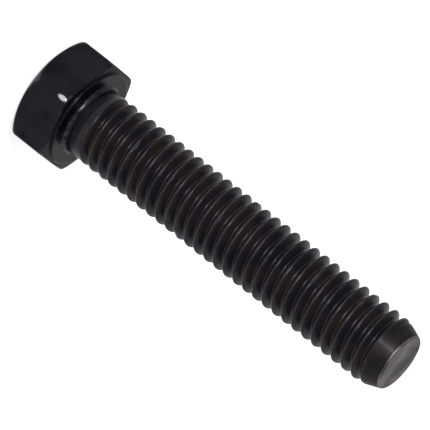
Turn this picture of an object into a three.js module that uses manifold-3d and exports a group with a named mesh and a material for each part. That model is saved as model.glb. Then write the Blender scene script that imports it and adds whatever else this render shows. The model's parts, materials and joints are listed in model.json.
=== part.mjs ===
// Hex bolt, threaded to the head, in millimetres.
//
// The bolt is one forged piece: a hexagonal head with a washer face under it, a short plain neck,
// and a right-hand rolled thread that runs out through a tapered point.
// It stands on its head: z = 0 is the top face of the head, +Z runs along the shank to the point,
// and two of the head's corners lie on the Y axis.

import * as THREE from 'three';
import { mergeVertices } from 'three/addons/utils/BufferGeometryUtils.js';
import Module from 'manifold-3d';

// Driving dimensions.
const lengthUnderHead = 50.8; // from the bearing face to the end of the point
const threadDiameter = 9.49; // over the crests: 3/8 inch less its allowance
const threadPitch = 1.5875; // 16 threads to the inch
const headAcrossFlats = 14.29; // 9/16 inch
const headHeight = 6.35; // 1/4 inch, the washer face included

// The head's details.
const topRimWidth = 0.5; // from a flat of the head in to the chamfer's circle
const topChamferAngle = THREE.MathUtils.degToRad(30); // between the chamfer and the top face
const washerFaceHeight = 0.3;
const washerFaceInset = 0.42; // from a flat of the head in to the washer face's edge

// The shank's details.
const neckStep = 0.08; // how far the neck lies below the crests
const neckLength = 1.9; // plain stretch under the head, up to where the thread starts to form
const runOutLength = 1.7; // over which the thread grows to its full depth
const filletRadius = 0.6; // between the bearing face and the neck
const threadPhase = 4.42; // height of a crest over +X, from the bearing face
const pointDiameter = 7.7; // where the point's taper meets the bevel of the end face
const pointAngle = THREE.MathUtils.degToRad(21); // between the point's taper and the axis
const pointEdge = 0.2; // small bevel between the taper and the end face

// A 60 degree thread form, as shares of its pitch.
const crestFlatShare = 1 / 8;
const rootFlatShare = 1 / 6;
const flankAngle = THREE.MathUtils.degToRad(30);

// How finely the round surfaces are divided.
const threadSegments = 24; // steps in one turn of the thread
const headSegments = 48; // sides of the head's turned surfaces
const filletSteps = 4;

// A hidden overlap between pieces that are joined into one, and how far a cutter stands clear.
const joinOverlap = 0.05;
const cutterMargin = 1;

// Dimensions that follow from the ones above.
const totalLength = headHeight + lengthUnderHead;
const crestRadius = threadDiameter / 2;
const crestFlat = threadPitch * crestFlatShare;
const rootFlat = threadPitch * rootFlatShare;
const flankRun = (threadPitch - crestFlat - rootFlat) / 2;
const rootRadius = crestRadius - flankRun / Math.tan(flankAngle);
const neckRadius = crestRadius - neckStep;
const cornerRadius = headAcrossFlats / Math.sqrt(3);

const { Manifold, Mesh } = await loadManifold();

async function loadManifold() {
  const wasm = await Module();
  wasm.setup();
  return wasm;
}

// A closed three.js geometry as a solid: only its positions, merged, without empty triangles.
function toSolid(geometry) {
  const bare = geometry.clone();
  bare.deleteAttribute('normal');
  bare.deleteAttribute('uv');
  const merged = mergeVertices(bare);
  const corners = merged.index.array;
  const triangles = [];
  for (let i = 0; i < corners.length; i += 3) {
    const [a, b, c] = corners.slice(i, i + 3);
    if (a !== b && b !== c && c !== a) triangles.push(a, b, c);
  }
  return new Manifold(
    new Mesh({
      numProp: 3,
      vertProperties: new Float32Array(merged.attributes.position.array),
      triVerts: new Uint32Array(triangles),
    }),
  );
}

// A solid as a three.js geometry.
function toGeometry(solid) {
  const mesh = solid.getMesh();
  const geometry = new THREE.BufferGeometry();
  geometry.setAttribute('position', new THREE.BufferAttribute(mesh.vertProperties, 3));
  geometry.setIndex(new THREE.BufferAttribute(mesh.triVerts, 1));
  geometry.computeVertexNormals();
  return geometry;
}

// A profile of [radius, height] pairs, listed upwards from axis to axis, turned about the Z axis.
// It is set half a step round, so that its edges cross those of the hexagon and the thread cleanly.
function turned(profile, segments) {
  const points = profile.map(([radius, height]) => new THREE.Vector2(radius, height));
  return new THREE.LatheGeometry(points, segments, Math.PI / segments).rotateX(Math.PI / 2);
}

// The hexagonal bar that the head is trimmed to, with two corners on the Y axis.
function hexBar() {
  const outline = new THREE.Shape();
  for (let corner = 0; corner < 6; corner += 1) {
    const angle = Math.PI / 2 + (corner * Math.PI) / 3;
    const x = cornerRadius * Math.cos(angle);
    const y = cornerRadius * Math.sin(angle);
    if (corner === 0) outline.moveTo(x, y);
    else outline.lineTo(x, y);
  }
  outline.closePath();
  const depth = headHeight + filletRadius + 2 * cutterMargin;
  return new THREE.ExtrudeGeometry(outline, { depth, bevelEnabled: false }).translate(0, 0, -cutterMargin);
}

// The head's round surfaces: top chamfer, washer face, and the fillet that leads into the neck.
function turnedHead() {
  const topRadius = headAcrossFlats / 2 - topRimWidth;
  const washerRadius = headAcrossFlats / 2 - washerFaceInset;
  const outerRadius = cornerRadius + cutterMargin;
  const chamferHeight = (outerRadius - topRadius) * Math.tan(topChamferAngle);
  const underside = headHeight - washerFaceHeight;
  const filletX = neckRadius + filletRadius - joinOverlap;
  const filletZ = headHeight + filletRadius;
  const profile = [
    [0, 0],
    [topRadius, 0],
    [outerRadius, chamferHeight],
    [outerRadius, underside],
    [washerRadius, underside],
    [washerRadius, headHeight],
  ];
  for (let step = 0; step <= filletSteps; step += 1) {
    const angle = (step / filletSteps) * (Math.PI / 2);
    profile.push([filletX - filletRadius * Math.sin(angle), filletZ - filletRadius * Math.cos(angle)]);
  }
  profile.push([0, filletZ]);
  return turned(profile, headSegments);
}

// How far the thread has formed at a height: 0 on the neck, 1 where it has its full depth.
function threadGrowth(height) {
  return THREE.MathUtils.clamp((height - headHeight - neckLength) / runOutLength, 0, 1);
}

// The threaded bar: four helical lines, two along the crest and two along the root, skinned turn by
// turn, and closed at each end by a fan of triangles that meet on the axis. It starts inside the head
// and runs past the point.
function threadedBar() {
  const outline = [
    { rise: -crestFlat / 2, radius: crestRadius },
    { rise: crestFlat / 2, radius: crestRadius },
    { rise: crestFlat / 2 + flankRun, radius: rootRadius },
    { rise: crestFlat / 2 + flankRun + rootFlat, radius: rootRadius },
  ];
  const lines = outline.length;
  const crestHeight = headHeight + threadPhase;
  const turnsBelow = Math.ceil((threadPhase + 2 * joinOverlap) / threadPitch) + 1;
  const start = crestHeight - turnsBelow * threadPitch;
  const turns = Math.ceil((totalLength + cutterMargin - start) / threadPitch);
  const steps = turns * threadSegments;

  const positions = [];
  for (let step = 0; step <= steps + threadSegments; step += 1) {
    const angle = (step / threadSegments) * 2 * Math.PI;
    for (const { rise, radius } of outline) {
      const height = start + (step / threadSegments) * threadPitch + rise;
      const grown = THREE.MathUtils.lerp(neckRadius, radius, threadGrowth(height));
      positions.push(grown * Math.cos(angle), grown * Math.sin(angle), height);
    }
  }
  const lowCentre = positions.length / 3;
  positions.push(0, 0, start - threadPitch / 2);
  const highCentre = lowCentre + 1;
  positions.push(0, 0, start + (turns + 1.5) * threadPitch);

  // The line after the last one of a turn is the first one of the turn above it.
  const at = (step, line) => (line < lines ? step * lines + line : (step + threadSegments) * lines);
  const triangles = [];
  for (let step = 0; step < steps; step += 1) {
    for (let line = 0; line < lines; line += 1) {
      triangles.push(at(step, line), at(step + 1, line), at(step + 1, line + 1));
      triangles.push(at(step, line), at(step + 1, line + 1), at(step, line + 1));
    }
  }
  for (let step = 0; step < threadSegments; step += 1) {
    triangles.push(at(step + 1, 0), at(step, 0), lowCentre);
    triangles.push(at(steps + step, 0), at(steps + step + 1, 0), highCentre);
  }
  for (let line = 0; line < lines; line += 1) {
    triangles.push(at(0, line), at(0, line + 1), lowCentre);
    triangles.push(at(steps, line + 1), at(steps, line), highCentre);
  }

  const geometry = new THREE.BufferGeometry();
  geometry.setAttribute('position', new THREE.Float32BufferAttribute(positions, 3));
  geometry.setIndex(triangles);
  return geometry;
}

// The space that the point is turned to: a wide bar that tapers to the end face, with a small bevel.
function pointEnvelope() {
  const endRadius = pointDiameter / 2;
  const wideRadius = crestRadius + cutterMargin;
  const bevelHeight = totalLength - pointEdge;
  const taperStart = bevelHeight - (wideRadius - endRadius) / Math.tan(pointAngle);
  const profile = [
    [0, -cutterMargin],
    [wideRadius, -cutterMargin],
    [wideRadius, taperStart],
    [endRadius, bevelHeight],
    [endRadius - pointEdge, totalLength],
    [0, totalLength],
  ];
  return turned(profile, threadSegments);
}

const head = toSolid(hexBar()).intersect(toSolid(turnedHead()));
const shank = toSolid(threadedBar()).intersect(toSolid(pointEnvelope()));

const blackOxideSteel = new THREE.MeshStandardMaterial({
  color: 0x1d1d21,
  roughness: 0.42,
  metalness: 0.85,
});

const hexBolt = new THREE.Mesh(toGeometry(head.add(shank)), blackOxideSteel);
hexBolt.name = 'hex_bolt';

const bolt = new THREE.Group();
bolt.add(hexBolt);

export default bolt;
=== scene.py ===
# %% [markdown]
# # A black-oxide hex bolt
#
# The bolt is one piece of steel. Its head is forged cold from a length of wire, its point is tapered,
# and its thread is rolled between dies. It is then blackened in a hot salt bath and lightly oiled.
# This lesson builds that one piece as one closed mesh, in metres, standing on its head, and gives each
# worked surface the finish that its own process leaves.
#
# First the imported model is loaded. It fixes the size and place of everything that follows.

# %% Load the frame
import json
import math
import random

import bmesh
import bpy
import numpy as np
from mathutils import Matrix, Vector, noise


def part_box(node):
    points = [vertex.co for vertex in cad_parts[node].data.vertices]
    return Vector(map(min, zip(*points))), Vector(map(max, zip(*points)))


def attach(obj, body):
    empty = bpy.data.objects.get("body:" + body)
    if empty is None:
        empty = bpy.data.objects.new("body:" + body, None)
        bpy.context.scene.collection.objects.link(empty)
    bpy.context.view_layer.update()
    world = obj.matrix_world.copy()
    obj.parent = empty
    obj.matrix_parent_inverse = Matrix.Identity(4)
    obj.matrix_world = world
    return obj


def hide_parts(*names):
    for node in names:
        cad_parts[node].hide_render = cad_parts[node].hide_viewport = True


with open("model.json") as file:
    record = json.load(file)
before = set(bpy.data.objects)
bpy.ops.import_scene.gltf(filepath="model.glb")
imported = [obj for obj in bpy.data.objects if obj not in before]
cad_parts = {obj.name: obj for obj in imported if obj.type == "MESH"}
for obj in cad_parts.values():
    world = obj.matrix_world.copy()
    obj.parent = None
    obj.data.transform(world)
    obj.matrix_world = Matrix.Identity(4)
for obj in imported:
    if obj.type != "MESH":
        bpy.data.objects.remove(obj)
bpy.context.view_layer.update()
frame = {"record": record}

MM = 0.001

# %% [markdown]
# ## The bolt's measures
#
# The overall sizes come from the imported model: its box gives the length and the width across flats,
# and its mounts say where the bearing face is. The thread is a 3/8 inch one with 16 threads to the
# inch. A rolled external thread has flanks 60 degrees apart, a narrow crest, and a round root whose
# radius is 0.144 of the pitch. Written this way, the crest and the root follow from the pitch.

# %% Measures of the head and the shank
low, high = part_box("hex_bolt")
mounts = {mount["name"]: Vector(mount["pos_m"]) for mount in frame["record"]["mounts"]}
end_z = high.z
bearing_z = mounts["bearing_face"].z
half_flats = (high.x - low.x) / 2

THREADS_PER_INCH = 16
FLANK_ANGLE = math.radians(30)  # of each flank, from straight across the axis
pitch = 25.4 * MM / THREADS_PER_INCH
crest_radius = 4.745 * MM
crest_z = bearing_z + 4.46 * MM  # height of a crest over +X
flank_slope = 1 / math.tan(FLANK_ANGLE)
crest_half = pitch / 16
root_round = 0.144 * pitch
root_half = root_round * math.cos(FLANK_ANGLE)
flank_drop = (pitch / 2 - crest_half - root_half) * flank_slope
root_radius = crest_radius - flank_drop - root_round * (1 - math.sin(FLANK_ANGLE))

neck_radius = crest_radius - 0.08 * MM
neck_end = bearing_z + 1.9 * MM  # where the dies begin to bite
full_thread = neck_end + 1.5 * MM  # where the thread has its full depth
print("thread depth in mm:", round((crest_radius - root_radius) / MM, 3))

# %% [markdown]
# ## The thread
#
# A thread could be made with a Screw modifier, which sweeps one outline round and up. Here the grid is
# written out point by point instead, because a rolled thread isn't the same all along: it grows out of
# the neck, it fades into the tapered point, and its crests carry small dents. Each row of points follows
# the helix, so the crest and the root stay crisp with few points. The outline of one pitch starts and
# ends on a crest, and the last row of one turn is the first row of the next. The steel doesn't quite
# fill the corners of the dies, so the crest is one round arc from flank to flank, and the root another.

# %% Outline of one pitch
ARC_TURN = 60  # degrees that the outline turns from the middle of a crest to a flank
crest_round = crest_half * flank_slope  # touches the crest's narrow flat and both flanks


def half_pitch():
    """[rise along the axis, drop below the crest] from the middle of a crest to the middle of a root."""
    turn = np.radians(np.linspace(0, ARC_TURN, 5))[:, None]
    crest = crest_round * np.hstack([np.sin(turn), 1 - np.cos(turn)])
    turn = np.radians(np.linspace(ARC_TURN, 0, 6))[:, None]
    root = np.hstack([pitch / 2 - root_round * np.sin(turn), -root_round * (1 - np.cos(turn))])
    root[:, 1] += crest_radius - root_radius
    middle = (crest[-1] + root[0]) / 2
    return np.vstack([crest, middle, root])


rising = half_pitch()
falling = rising[-2:0:-1] * [-1, 1] + [pitch, 0]
pitch_outline = np.vstack([rising, falling])
rows = len(pitch_outline)
print("points in one pitch:", rows)

# %% [markdown]
# The dies don't close fully at the first and last turns, so there the metal has not met in the middle
# of the crest and leaves a thin seam, and on the tapered point the groove fades away. The crests are
# also never quite even, and loose bolts knock against each other in a bin, which flattens a crest here
# and there. These are small moves of the radius, worked out for every point from where it is. The
# random numbers and the noise both start from a fixed seed, so every run makes the same bolt.

# %% Radius of the shank at any point
POINT_ANGLE = math.radians(21)
BEVEL = 0.25 * MM
point_radius = 3.85 * MM
bevel_z = end_z - BEVEL
fade_start = end_z - 3.4 * MM  # where the groove starts to fade
fade_end = end_z - 1.3 * MM

CREST_BAND = 0.12 * MM  # how far below the top of a crest its seam and its unevenness reach
SEAM_DEPTH = 0.09 * MM
CREST_UNEVEN = 0.02 * MM
UNEVEN_GRAIN = 1.6 * MM
TAPER_BLEND = 0.12 * MM  # rounds the edge where the taper starts
DENTS = 70
DENT_TURNS = 26
DENT_WIDTH = (0.25, 0.9)  # mm
DENT_DEPTH = (0.03, 0.13)  # mm
random.seed(38)
noise.seed_set(38)


def smooth_step(value, start, end):
    """0 up to the start, 1 from the end on, and a soft S between."""
    share = np.clip((value - start) / (end - start), 0, 1)
    return share * share * (3 - 2 * share)


def scatter_dents():
    """Dents on the crests: angle, height, width and depth of each."""
    found = []
    for _ in range(DENTS):
        angle = random.uniform(0, 2 * math.pi)
        turn = random.randint(0, DENT_TURNS)
        height = crest_z + pitch * (turn + angle / (2 * math.pi))
        width = random.uniform(*DENT_WIDTH) * MM
        depth = random.uniform(*DENT_DEPTH) * MM
        found.append((angle, height, width, depth))
    return found


dents = scatter_dents()


def shank_radius(angle, height, drop):
    """Radius at each point, from its angle, its height and how far its row lies below the crest."""
    grown = smooth_step(height, neck_end, full_thread)
    fading = smooth_step(height, fade_start, fade_end)
    radius = neck_radius + (crest_radius - drop * (1 - fading) - neck_radius) * grown
    unformed = np.maximum(1 - grown, fading) * grown
    at_crest = np.clip(1 - drop / CREST_BAND, 0, 1)
    radius -= SEAM_DEPTH * unformed * at_crest**3
    across = np.cos(angle) * crest_radius, np.sin(angle) * crest_radius
    uneven = [noise.noise(Vector((x, y, z)) / UNEVEN_GRAIN) for x, y, z in zip(*across, height)]
    radius += CREST_UNEVEN * np.array(uneven) * at_crest * grown
    for dent_angle, dent_height, width, depth in dents:
        round_by = (np.mod(angle - dent_angle + math.pi, 2 * math.pi) - math.pi) * crest_radius
        away = np.hypot(round_by, height - dent_height) / width
        dented = crest_radius - depth * (1 - 0.5 * away**2)
        radius = np.where(away < 1, np.minimum(radius, dented), radius)
    taper = point_radius + (bevel_z - height) * math.tan(POINT_ANGLE)
    gap = radius - taper
    return taper + 0.5 * (gap - np.sqrt(gap**2 + TAPER_BLEND**2))


# %% [markdown]
# The rows now wind up from inside the neck to past the end. Beside its place, each point gets a number
# that says how much the film is rubbed there in use, which the finish reads later.

# %% Wind the shank's grid
COLUMNS = 96
CREST_RUB = 0.015  # the share of the film that handling takes off the top of a crest
CREST_RUB_BAND = 0.15 * MM
cut_low = bearing_z + 1.8 * MM
first_turn = math.floor((cut_low - crest_z) / pitch) - 1
turns = math.ceil((end_z - crest_z) / pitch) + 1 - first_turn


def wind_shank():
    """Points and quads of the thread, turn by turn, and how much each point gets rubbed."""
    steps = turns * COLUMNS
    # Steps run down and the outline runs across, so each sum of the two fills the whole grid.
    step = np.arange(steps + COLUMNS + 1)[:, None]
    angle = (step * 2 * math.pi / COLUMNS + 0 * pitch_outline[:, 0]).ravel()
    height = (crest_z + pitch * (first_turn + step / COLUMNS) + pitch_outline[:, 0]).ravel()
    drop = (pitch_outline[:, 1] + 0.0 * step).ravel()
    radius = shank_radius(angle, height, drop)
    points = np.column_stack([radius * np.cos(angle), radius * np.sin(angle), height])

    quads = []
    for at in range(steps):
        for row in range(rows):
            here, there = at * rows + row, (at + 1) * rows + row
            above = 1 if row + 1 < rows else COLUMNS * rows - row
            quads.append((here, there, there + above, here + above))
    rub = CREST_RUB * np.clip(1 - drop / CREST_RUB_BAND, 0, 1)
    return points, quads, rub * smooth_step(height, neck_end, full_thread)


shank_points, shank_quads, shank_rub = wind_shank()
print("shank:", len(shank_points), "points,", len(shank_quads), "quads")

# %% [markdown]
# A helix starts and ends at a slant. Cutting the grid with a flat plane at each end leaves two level
# rims: the end of the point grows from one, and the head is joined to the other.

# %% Cut the shank level
bolt_mesh = bmesh.new()
rub_layer = bolt_mesh.verts.layers.float.new("rub")


def cut_level(height, keep_above):
    """Cuts the bolt's mesh with a level plane and keeps one side."""
    bmesh.ops.bisect_plane(
        bolt_mesh,
        geom=bolt_mesh.verts[:] + bolt_mesh.edges[:] + bolt_mesh.faces[:],
        plane_co=(0, 0, height),
        plane_no=(0, 0, 1),
        clear_inner=keep_above,
        clear_outer=not keep_above,
        dist=1e-7,
    )


def add_grid(points, quads, rub):
    """Adds points and quads to the bolt's mesh, with how much each point gets rubbed in use."""
    made = [bolt_mesh.verts.new(point) for point in points]
    for vert, amount in zip(made, rub):
        vert[rub_layer] = amount
    for quad in quads:
        bolt_mesh.faces.new([made[index] for index in quad])
    loose = [vert for vert in made if not vert.link_faces]
    bmesh.ops.delete(bolt_mesh, geom=loose, context="VERTS")


add_grid(shank_points, shank_quads, shank_rub)
cut_level(cut_low, keep_above=True)
cut_level(bevel_z, keep_above=False)


def rim_at(height):
    """The open edges that lie at a height."""
    level = [edge for edge in bolt_mesh.edges if edge.is_boundary]
    return [edge for edge in level if abs(edge.verts[0].co.z - height) < 1e-6]


print("rims:", len(rim_at(cut_low)), len(rim_at(bevel_z)))

# %% [markdown]
# ## The end of the point
#
# The wire was sheared to length before it was pointed, and rolling pulls the skin of the bolt past its
# core, so the end is a slightly dished disc with a small bevel round it. The rim left by the cut is
# extruded ring by ring, each ring a little further in, and the last and smallest ring is closed with a
# fan of triangles round one point on the axis.

# %% Close the end
DISH = 0.16 * MM
LAST_RING = 0.1 * MM


def bezier(start, corner, end, steps):
    """Points that round a corner off, from start to end."""
    shares = np.linspace(0, 1, steps + 1)
    return [(1 - t) ** 2 * start + 2 * t * (1 - t) * corner + t**2 * end for t in shares]


def grow_rim(edges, radius, height):
    """Extrudes an open rim to a level circle. Returns the new rim."""
    grown = bmesh.ops.extrude_edge_only(bolt_mesh, edges=edges)["geom"]
    fresh = {item for item in grown if isinstance(item, bmesh.types.BMVert)}
    for vert in fresh:
        outward = Vector((vert.co.x, vert.co.y, 0)).normalized()
        vert.co = outward * radius + Vector((0, 0, height))
        vert[rub_layer] = 0
    lines = [item for item in grown if isinstance(item, bmesh.types.BMEdge)]
    return [edge for edge in lines if fresh.issuperset(edge.verts)]


def draw_together(edges, height):
    """Closes a rim with a fan of triangles round one point on the axis."""
    rim = grow_rim(edges, LAST_RING, height)
    centre = bolt_mesh.verts.new((0, 0, height))
    for edge in rim:
        bolt_mesh.faces.new((*edge.verts, centre))


rim = rim_at(bevel_z)
bevel_start = np.array([point_radius, bevel_z])
bevel_corner = np.array([point_radius - 0.1 * MM, end_z])
bevel_end = np.array([point_radius - 0.38 * MM, end_z])
for radius, height in bezier(bevel_start, bevel_corner, bevel_end, 5)[1:]:
    rim = grow_rim(rim, radius, height)
for share in (0.97, 0.85, 0.7, 0.5, 0.25):
    rim = grow_rim(rim, bevel_end[0] * share, end_z - DISH * (1 - share**2))
draw_together(rim, end_z - DISH)

# %% [markdown]
# ## The head
#
# A hex head could start as a cylinder with six vertices, with a Bevel modifier to soften it. The curved
# line where each flat meets the top chamfer would then need a boolean cut, and the bevel would trip
# over it. So the head is drawn as one outline, from the neck to the middle of the top, that is different
# at each angle: it reaches further out at a corner than on a flat. Where the outline meets the cone of
# the chamfer, the curved line appears by itself. Every corner of the outline is rounded, because a
# forging has no sharp edges, and the rounding is widest at the hexagon's corners, where the steel has
# the furthest to flow.

# %% Columns and corners of the hexagon
SIDES = 6
CORNER_ROUND = 0.4 * MM  # radius along the head's upright edges
HALF_SECTOR = math.radians(30)  # from the middle of a flat to a corner

corner_centre = (half_flats - CORNER_ROUND) / math.cos(HALF_SECTOR)
flat_starts = corner_centre + CORNER_ROUND * math.cos(HALF_SECTOR)
corner_reach = math.degrees(math.atan2(CORNER_ROUND / 2, flat_starts))

# Degrees from a corner, close together where the outline turns.
from_corner = [0.3 * corner_reach, 0.65 * corner_reach, corner_reach, 2, 3, 4.5, 6.5]
from_corner += list(range(9, 30, 3))
sector = [-angle for angle in reversed(from_corner)] + [0] + from_corner + [30]
columns = [math.radians(60 * side + 30 + angle) for side in range(SIDES) for angle in sector]
columns = np.array(columns)


def hexagon_radius(angle):
    """How far out the rounded hexagon is at each angle, with corners at 30, 90, ... degrees."""
    off = np.mod(angle, 2 * HALF_SECTOR) - HALF_SECTOR
    flat = half_flats / np.cos(HALF_SECTOR - np.abs(off))
    inside = np.clip(CORNER_ROUND**2 - (corner_centre * np.sin(off)) ** 2, 0, None)
    rounded = corner_centre * np.cos(off) + np.sqrt(inside)
    return np.where(np.abs(off) < math.radians(corner_reach), rounded, flat)


hexagon = hexagon_radius(columns)
corner_share = (hexagon - half_flats) / (hexagon.max() - half_flats)  # 0 on a flat, 1 at a corner
print("columns:", len(columns), "across corners in mm:", round(2 * hexagon.max() / MM, 2))

# %% [markdown]
# Each station below is a corner of that outline, with how far its rounding reaches. The washer face is
# the raised ring that the bolt seats on. The underside outside it droops a little towards the corners.
# The last number of a station says how much film its corner has lost. That is most on the outer edges
# of the head, which get handled, and in the fillet, which the edge of a hole rubs.

# %% The head's outline
FILLET = 0.6 * MM
WASHER_HEIGHT = 0.3 * MM
DROOP = 0.1 * MM
TOP_RIM = 0.5 * MM  # from a flat in to the chamfer's circle
CHAMFER = math.tan(math.radians(30))
LAST_ROW = 0.2 * MM  # radius of the last row round the middle of the top

washer_radius = half_flats - 0.42 * MM
top_radius = half_flats - TOP_RIM
ledge_z = bearing_z - WASHER_HEIGHT
neck_join = bearing_z + 1.0 * MM
chamfer_z = (hexagon - top_radius) * CHAMFER
under_z = ledge_z - DROOP * corner_share
under_round = (0.14 + 0.5 * corner_share**2) * MM

stations = [  # radius, height, reach of the rounding, steps in it, rows up to the next, rubbing
    (neck_radius, neck_join, 0, 0, 2, 0),
    (neck_radius, bearing_z, FILLET, 8, 4, 0.13),
    (washer_radius, bearing_z, 0.14 * MM, 3, 1, 0.03),
    (washer_radius + 0.03 * MM, ledge_z, 0.07 * MM, 3, 4, 0),
    (hexagon, under_z, under_round, 5, 7, 0.15 * corner_share),
    (hexagon, chamfer_z, (0.16 + 0.5 * corner_share**2) * MM, 4, 5, 0.15 * corner_share),
    (top_radius, 0, 0.22 * MM, 4, 8, 0.1),
    (LAST_ROW, 0, 0, 0, 0, 0),
]


def spread(station):
    """A station's point at every column, as an array of [radius, height] pairs."""
    radius, height = station[:2]
    return np.column_stack([radius + 0 * columns, height + 0 * columns])


def head_outline():
    """Rows of [radius, height] at every column, from the neck to the middle of the top."""
    outline = []
    last = None
    for index, (_, _, reach, steps, between, rub) in enumerate(stations):
        here = spread(stations[index])
        rub = rub + 0 * columns
        arc = [here]
        if steps:  # round this corner off
            back = spread(stations[index - 1]) - here
            ahead = spread(stations[index + 1]) - here
            reach = np.array(reach + 0 * columns)[:, None]
            start = here + back * reach / np.linalg.norm(back, axis=1, keepdims=True)
            end = here + ahead * reach / np.linalg.norm(ahead, axis=1, keepdims=True)
            arc = bezier(start, here, end, steps)
        if last is not None:  # rows between the last corner and this one, closer near both
            for step in range(1, filled + 1):
                share = 0.5 - 0.5 * math.cos(math.pi * step / (filled + 1))
                outline.append((last + (arc[0] - last) * share, 0 * columns))
        for position, row in enumerate(arc):
            middle = 1 - abs(2 * position / max(steps, 1) - 1)
            outline.append((row, rub * middle))
        last = arc[-1]
        filled = between
    return outline


head_rows = head_outline()
print("head:", len(head_rows), "rows of", len(columns))

# %% [markdown]
# A cold-forged head is never truly flat. The die leaves the top and the flats a hundredth or two of a
# millimetre high and low, which is what bends a reflection across them. Noise read at each point gives
# that, and the rows and columns then become quads. The unevenness fades out towards the middle of the
# top, so that the last ring of points stays level and can be drawn together.

# %% Skin the head
FORGED_UNEVEN = 0.018 * MM
FORGED_GRAIN = 3.2 * MM
FORGED_FADE = 0.6 * MM  # the pressed washer face is true, and the unevenness grows below it


def skin_head():
    """Points, quads and rubbing of the head."""
    points = []
    rub = []
    for row, row_rub in head_rows:
        for angle, (radius, height), amount in zip(columns, row, row_rub):
            spot = Vector((radius * math.cos(angle), radius * math.sin(angle), height))
            forged = smooth_step(bearing_z - height, 0, FORGED_FADE) * smooth_step(radius, LAST_ROW, MM)
            spot += noise.noise_vector(spot / FORGED_GRAIN) * FORGED_UNEVEN * float(forged)
            spot.z = max(spot.z, 0)
            points.append(spot)
            rub.append(amount)
    count = len(columns)
    quads = []
    for row in range(len(head_rows) - 1):
        for column in range(count):
            beside = (column + 1) % count
            below, above = row * count, (row + 1) * count
            quads.append((below + column, above + column, above + beside, below + beside))
    return points, quads, rub


add_grid(*skin_head())
draw_together(rim_at(0), 0)

# %% [markdown]
# The neck of the head and the neck of the shank end in two level rims with different numbers of points.
# Blender can bridge two edge loops by itself. Stepping round both rims by angle does the same in a few
# plain lines, and each point is joined to the ones that lie beside it.

# %% Join the head to the shank
def zip_rims(*rims):
    """Joins two level rims with triangles, always stepping along the rim that is behind."""
    rings = []  # for each rim, its points and their angles, and the first point again a turn later
    for rim in rims:
        angles = {vert: math.atan2(vert.co.y, vert.co.x) for edge in rim for vert in edge.verts}
        ring = sorted(angles, key=angles.get)
        rings.append([(angles[vert], vert) for vert in ring])
        rings[-1].append((angles[ring[0]] + 2 * math.pi, ring[0]))
    here = [0, 0]
    while here != [len(ring) - 1 for ring in rings]:
        ahead = [(ring + [(math.inf, None)])[at + 1][0] for ring, at in zip(rings, here)]
        side = ahead.index(min(ahead))
        lower, upper = [ring[at][1] for ring, at in zip(rings, here)]
        here[side] += 1
        bolt_mesh.faces.new((lower, upper, rings[side][here[side]][1]))


zip_rims(rim_at(neck_join), rim_at(cut_low))
bmesh.ops.recalc_face_normals(bolt_mesh, faces=bolt_mesh.faces)
open_edges = [edge for edge in bolt_mesh.edges if not edge.is_manifold]
print("bolt:", len(bolt_mesh.verts), "points, open edges:", len(open_edges))
print("volume in mm3:", round(bolt_mesh.calc_volume() / MM**3, 1))

# %% [markdown]
# ## From mesh to piece
#
# The faces are sorted by how each surface was worked, so that each can have its own finish: forged on
# the head, pressed on the washer face and the neck, rolled on the thread, pointed on the taper, and
# sheared on the end. A Weighted Normal modifier then lets large faces decide the shading beside a small
# rounding, so that the flats look flat right up to their edges.

# %% Make the piece
FORGED, PRESSED, ROLLED, POINTED, SHEARED = range(5)
point_z = end_z - 2.4 * MM  # where the taper has cut well into the crests


def zone(face):
    """Which process left this face."""
    centre = face.calc_center_median()
    radius = math.hypot(centre.x, centre.y)
    if centre.z > bevel_z:
        return SHEARED
    if centre.z > point_z:
        return POINTED
    if centre.z > cut_low:
        return ROLLED
    if centre.z > ledge_z and radius < washer_radius + 0.02 * MM:
        return PRESSED
    return FORGED


for face in bolt_mesh.faces:
    face.material_index = zone(face)
    face.smooth = True
bolt_data = bpy.data.meshes.new("hex_bolt_skin")
bolt_mesh.to_mesh(bolt_data)
bolt_mesh.free()
bolt = bpy.data.objects.new("hex_bolt_skin", bolt_data)
bpy.context.scene.collection.objects.link(bolt)
even_shading = bolt.modifiers.new("even shading", "WEIGHTED_NORMAL")
even_shading.keep_sharp = True

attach(bolt, "root")
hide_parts("hex_bolt")

# %% [markdown]
# ## The black oxide
#
# Black oxide isn't paint. The hot salts turn the outer thousandth of a millimetre of the steel into
# magnetite, and the bolt is dipped in oil while it is warm. The eye gets a near-black metal with a soft
# satin shine, a little bluer or browner from place to place, that goes grey where it is rubbed. In a
# Principled shader that is mostly metallic, because the film is thin, with a very dark base colour and a
# middling roughness. What isn't metallic gives the faint dull body of the porous film, so its own shine
# is turned down, and a thin clear coat stands for the oil. The film also dulls the shine at the edge of
# a round surface, which the metal's edge tint gives. The IOR stays at its default.

# %% Helpers for the finishes
def linear(hex_colour):
    """An sRGB hex colour as linear RGBA."""
    channels = [int(hex_colour[at : at + 2], 16) / 255 for at in (1, 3, 5)]
    return [c / 12.92 if c <= 0.04045 else ((c + 0.055) / 1.055) ** 2.4 for c in channels] + [1.0]


def per(millimetres):
    """The texture scale that gives a pattern this size, because object coordinates are in metres."""
    return 1 / (millimetres * MM)


def add(tree, kind, settings=None, inputs=None):
    """Adds a node. Inputs are named or numbered, and each is a value or another node's output."""
    node = tree.nodes.new(kind)
    for name, value in (settings or {}).items():
        setattr(node, name, value)
    for name, value in (inputs or {}).items():
        if isinstance(value, bpy.types.NodeSocket):
            tree.links.new(value, node.inputs[name])
        else:
            node.inputs[name].default_value = value
    return node


# %% [markdown]
# The film's tone drifts over a few millimetres through four blacks, from bluish to brownish, which a
# colour ramp holds. How much light it scatters back depends on the steel under it: the smooth forged
# head is the darkest, and the torn end is the palest.

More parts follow.
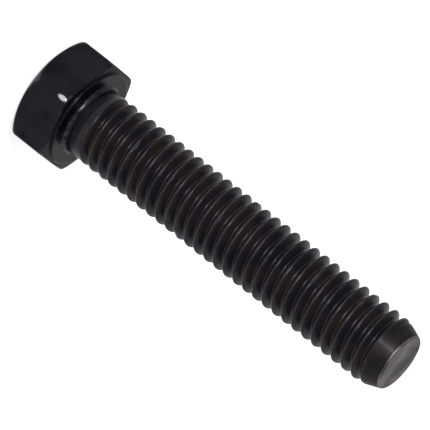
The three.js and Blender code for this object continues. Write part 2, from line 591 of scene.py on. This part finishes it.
# %% Tone of the film
HEAD_TONES = ["#07080B", "#0F0E15", "#131219", "#161318"]  # blue black, violet, slate, brown black
SHANK_TONES = ["#1C1E21", "#242027", "#292427", "#2B2724"]  # slate, violet, purple brown, umber
POINT_TONES = ["#131415", "#1A1719", "#1E1A1B", "#211D1B"]  # the same, under a duller film
END_TONES = ["#343230", "#474442", "#5A5653", "#6A6663"]  # grey steel shows through the film
TONE_STOPS = (0.36, 0.46, 0.54, 0.64)  # where each tone lies in the noise's range
TONE_SIZE = 3.2  # mm


def film_tone(tree, place, tones):
    """The colour of the film at each place."""
    drift = add(
        tree,
        "ShaderNodeTexNoise",
        inputs={"Vector": place, "Scale": per(TONE_SIZE), "Detail": 4.0},
    )
    tone = add(tree, "ShaderNodeValToRGB", inputs={"Fac": drift.outputs["Fac"]})
    stops = tone.color_ramp.elements
    while len(stops) < len(tones):
        stops.new(1.0)
    for stop, shade, at in zip(stops, tones, TONE_STOPS):
        stop.position = at
        stop.color = linear(shade)
    return tone.outputs["Color"]


# %% [markdown]
# The "rub" value stored in the mesh says where the bolt gets handled. There the film is thinner, in
# patches, so bare steel begins to show.
#
# Loose bolts strike each other with their corners first, and such a knock takes the film right off. The
# one on this head is a small ball of bare steel, stretched over the corner under the washer face. It
# sits on the corner that faces the camera and the lamp, where its pale steel turns the lamp's highlight
# into a white spot, so it is a painted highlight as much as a knock. It is placed in the mesh's own
# coordinates, and noise added to them gives it a ragged edge.

# %% Where bare steel and the painted highlight show
# Bare steel where the film is rubbed, and the pale patch of the painted highlight at the knock.
BARE_STEEL_AND_HIGHLIGHT = "#A4A4A5"
RUB_PATCH = 0.8  # mm
# The knock sits on the head's corner that faces the camera and the lamp: a painted highlight there as
# well as a knock.
HIGHLIGHT_KNOCK_CENTRE = Vector((-0.04 * MM, -(hexagon.max() - 0.1 * MM), bearing_z - 1.1 * MM))
HIGHLIGHT_KNOCK_SIZE = Vector((0.48, 0.8, 0.98)) * MM
HIGHLIGHT_KNOCK_RAGGED = Vector((0.25, 0.25, 0.5)) * MM


def painted_highlight_knock(tree, place, patches):
    """How bare the knock leaves the steel at each place, from 0 to 1: a painted highlight on the corner
    that faces the lamp.
    """
    ragged = add(
        tree,
        "ShaderNodeVectorMath",
        {"operation": "MULTIPLY_ADD"},
        {0: patches.outputs["Color"], 1: HIGHLIGHT_KNOCK_RAGGED, 2: place},
    )
    centre = HIGHLIGHT_KNOCK_CENTRE + HIGHLIGHT_KNOCK_RAGGED / 2
    shift = [-at / across for at, across in zip(centre, HIGHLIGHT_KNOCK_SIZE)]
    shrink = [1 / across for across in HIGHLIGHT_KNOCK_SIZE]
    near = add(
        tree,
        "ShaderNodeMapping",
        inputs={"Vector": ragged.outputs[0], "Location": shift, "Scale": shrink},
    )
    ball = add(tree, "ShaderNodeTexGradient", {"gradient_type": "SPHERICAL"}, {0: near.outputs[0]})
    spot = add(
        tree,
        "ShaderNodeMapRange",
        inputs={"Value": ball.outputs["Fac"], "From Min": 0.2, "From Max": 0.5, "To Max": 1.0},
    )
    return spot.outputs[0]


def bare_steel_and_highlight(tree, place, highlight_knock):
    """How far bare steel shows at each place, from 0 to 1, with the knock's painted highlight added."""
    rub = add(tree, "ShaderNodeAttribute", {"attribute_name": "rub"}).outputs["Fac"]
    patches = add(
        tree,
        "ShaderNodeTexNoise",
        inputs={"Vector": place, "Scale": per(RUB_PATCH), "Detail": 3.0},
    )
    thin = add(
        tree,
        "ShaderNodeMapRange",
        inputs={"Value": patches.outputs["Fac"], "From Min": 0.35, "From Max": 0.65, "To Max": 1.0},
    )
    worn = add(tree, "ShaderNodeMath", {"operation": "MULTIPLY"}, {0: rub, 1: thin.outputs[0]})
    if highlight_knock:
        # The knock adds its painted highlight patch to the wear.
        spot = painted_highlight_knock(tree, place, patches)
        worn = add(tree, "ShaderNodeMath", {"operation": "MAXIMUM"}, {0: worn.outputs[0], 1: spot})
    return worn.outputs[0]


# %% [markdown]
# Every worked surface gets the same film, so one function makes all five finishes. Beside the tones,
# what changes is the grain that the process left in the steel: its size, its direction, and how deep it
# is. The grain is a bump, and it also makes the shine patchy.

# %% The five finishes
SHINE_DRIFT = 0.06


def black_oxide(name, grain, stretch, depth, roughness, tones, highlight_knock=False):
    """A black-oxide finish. grain and depth are in mm; stretch scales the grain along x, y and z."""
    finish = bpy.data.materials.new(name)
    finish.use_nodes = True
    tree = finish.node_tree
    shader = tree.nodes["Principled BSDF"]
    place = add(tree, "ShaderNodeTexCoord").outputs["Object"]

    # Film tone, bare steel where rubbed, and the knock's painted highlight.
    colour = add(
        tree,
        "ShaderNodeMix",
        {"data_type": "RGBA"},
        {0: bare_steel_and_highlight(tree, place, highlight_knock), 6: film_tone(tree, place, tones), 7: linear(BARE_STEEL_AND_HIGHLIGHT)},
    )
    lay = add(tree, "ShaderNodeMapping", inputs={"Vector": place, "Scale": stretch})
    pits = add(
        tree,
        "ShaderNodeTexNoise",
        inputs={"Vector": lay.outputs["Vector"], "Scale": per(grain), "Detail": 4.0, "Roughness": 0.6},
    )
    satin = add(
        tree,
        "ShaderNodeMapRange",
        inputs={
            "Value": pits.outputs["Fac"],
            "From Min": 0.3,
            "From Max": 0.7,
            "To Min": roughness - SHINE_DRIFT,
            "To Max": roughness + SHINE_DRIFT,
        },
    )
    bump = add(
        tree,
        "ShaderNodeBump",
        inputs={"Height": pits.outputs["Fac"], "Strength": 0.6, "Distance": depth * MM},
    )
    tree.links.new(colour.outputs[2], shader.inputs["Base Color"])
    tree.links.new(satin.outputs["Result"], shader.inputs["Roughness"])
    tree.links.new(bump.outputs["Normal"], shader.inputs["Normal"])
    shader.inputs["Metallic"].default_value = 0.6
    shader.inputs["Specular IOR Level"].default_value = 0.1
    shader.inputs["Specular Tint"].default_value = (0.78, 0.78, 0.8, 1)  # dulls the edges
    shader.inputs["Coat Weight"].default_value = 0.04
    shader.inputs["Coat Roughness"].default_value = 0.22
    return finish


finishes = [  # in the order of the zones
    # The forged head carries the knock's painted highlight.
    black_oxide("black_oxide_forged", 0.5, (1, 1, 1), 0.01, 0.36, HEAD_TONES, highlight_knock=True),
    black_oxide("black_oxide_pressed", 0.35, (1, 1, 3), 0.005, 0.29, HEAD_TONES),
    black_oxide("black_oxide_rolled", 0.3, (1, 1, 3), 0.011, 0.34, SHANK_TONES),
    black_oxide("black_oxide_point", 0.4, (1, 1, 1), 0.01, 0.5, POINT_TONES),
    black_oxide("black_oxide_sheared", 0.3, (1, 1, 1), 0.012, 0.45, END_TONES),
]
for finish in finishes:
    bolt.data.materials.append(finish)
print("finishes:", [finish.name for finish in finishes])

# %% [markdown]
# ## The studio
#
# The bolt stands on a plain pale light table, which glows a little, and that takes the shadows out. The
# table lies a hair under the head, because two faces in one plane would flicker.

# %% Floor
FLOOR_HALF = 3.0
FLOOR_Z = -0.05 * MM
TABLE_GLOW = 0.66

floor_data = bpy.data.meshes.new("floor")
sides = [(-1, -1), (1, -1), (1, 1), (-1, 1)]
floor_corners = [(FLOOR_HALF * x, FLOOR_HALF * y, FLOOR_Z) for x, y in sides]
floor_data.from_pydata(floor_corners, [], [(0, 1, 2, 3)])
floor = bpy.data.objects.new("floor", floor_data)
bpy.context.scene.collection.objects.link(floor)
paper = bpy.data.materials.new("white_paper")
paper.use_nodes = True
paper_shader = paper.node_tree.nodes["Principled BSDF"]
paper_shader.inputs["Base Color"].default_value = linear("#DCDCDC")
paper_shader.inputs["Roughness"].default_value = 0.9
paper_shader.inputs["Emission Color"].default_value = linear("#FFFFFF")
paper_shader.inputs["Emission Strength"].default_value = TABLE_GLOW
floor_data.materials.append(paper)
print("floor across in m:", 2 * FLOOR_HALF)

# %% [markdown]
# A dark shiny thing is lit by what it reflects, so a tent of white cloth stands around it. The cloth is
# bright behind the bolt and on its +X side, a little less so overhead, and it is open on the camera's
# side and on the -X side. So the bolt keeps a pale edge, and what faces the camera stays nearly black.

# %% Tent
CLOTH_WAY = (0.7, 0.7, 0)  # towards the cloth, between +X and +Y
OPEN_SIDE = 0.2  # how bright the open side is, where the cloth is 1

world = bpy.data.worlds.new("tent")
world.use_nodes = True
bpy.context.scene.world = world
sky = world.node_tree
way = add(sky, "ShaderNodeTexCoord").outputs["Generated"]
height = add(sky, "ShaderNodeSeparateXYZ", inputs={0: way}).outputs["Z"]
glow = add(
    sky,
    "ShaderNodeMapRange",
    inputs={"Value": height, "From Min": 0.0, "From Max": 0.8, "To Min": 1.0, "To Max": 0.8},
)
behind = add(sky, "ShaderNodeVectorMath", {"operation": "DOT_PRODUCT"}, {0: way, 1: CLOTH_WAY})
cloth = add(
    sky,
    "ShaderNodeMapRange",
    inputs={
        "Value": behind.outputs["Value"],
        "From Min": -0.5,
        "From Max": 0.5,
        "To Min": OPEN_SIDE,
        "To Max": 1.0,
    },
)
both = add(sky, "ShaderNodeMath", {"operation": "MULTIPLY"}, {0: glow.outputs[0], 1: cloth.outputs[0]})
sky.links.new(both.outputs[0], sky.nodes["Background"].inputs["Strength"])
sky.nodes["Background"].inputs["Color"].default_value = (1, 1, 1, 1)
bpy.context.scene.view_settings.view_transform = "Standard"
print("tent, overhead beside the horizon:", glow.inputs["To Max"].default_value)

# %% [markdown]
# ## Camera
#
# The bolt is seen from the side and a little above, through a long lens, with the camera rolled so
# that the bolt lies across the picture from its head at the upper left to its point at the lower right.

# %% Camera
ELEVATION = math.radians(21)
ROLL = math.radians(90 + 38.15)
LENS = 329
DISTANCE = 475.7 * MM
aim = Vector((-0.28 * MM, 0, bearing_z + 20.72 * MM))  # a little below the middle of the bolt

towards = Vector((0, -math.cos(ELEVATION), math.sin(ELEVATION)))
upright = Vector((0, math.sin(ELEVATION), math.cos(ELEVATION)))
sideways = Vector((1, 0, 0))
right = math.cos(ROLL) * sideways + math.sin(ROLL) * upright
up = math.cos(ROLL) * upright - math.sin(ROLL) * sideways
camera_data = bpy.data.cameras.new("camera")
camera_data.lens = LENS
camera = bpy.data.objects.new("camera", camera_data)
bpy.context.scene.collection.objects.link(camera)
turn = Matrix((right, up, towards)).transposed()
camera.matrix_world = Matrix.Translation(aim + towards * DISTANCE) @ turn.to_4x4()
bpy.context.scene.camera = camera
print("camera at, in mm:", [round(value / MM) for value in camera.matrix_world.translation])

# %% [markdown]
# ## Lamp
#
# One lamp, a tall narrow strip, hangs a little higher than the camera and on its -X side. A round shiny
# thing shows a lamp as a line along its length. A narrow strip keeps that line thin, so each crest of
# the thread gets one small bright patch.

# %% Lamp
STRIP_SIZE = (0.03, 0.26)
STRIP_DISTANCE = 0.35
STRIP_RADIANCE = 62


def soft_lamp(name, place, aim, size, radiance):
    """A flat lamp of a width and height, aimed at a point. The radiance is how bright it looks."""
    data = bpy.data.lights.new(name, "AREA")
    data.shape = "RECTANGLE"
    data.size, data.size_y = size
    data.energy = radiance * math.pi * size[0] * size[1]
    lamp = bpy.data.objects.new(name, data)
    lamp.location = place
    lamp.rotation_euler = (Vector(aim) - Vector(place)).to_track_quat("-Z", "Y").to_euler()
    bpy.context.scene.collection.objects.link(lamp)
    return lamp


middle = Vector((0, 0, (low.z + high.z) / 2))
strip_way = Vector((-0.3, -0.95, 0.62)).normalized()
strip = soft_lamp("strip", middle + strip_way * STRIP_DISTANCE, middle, STRIP_SIZE, STRIP_RADIANCE)
print("strip lamp in watts:", round(strip.data.energy, 2))
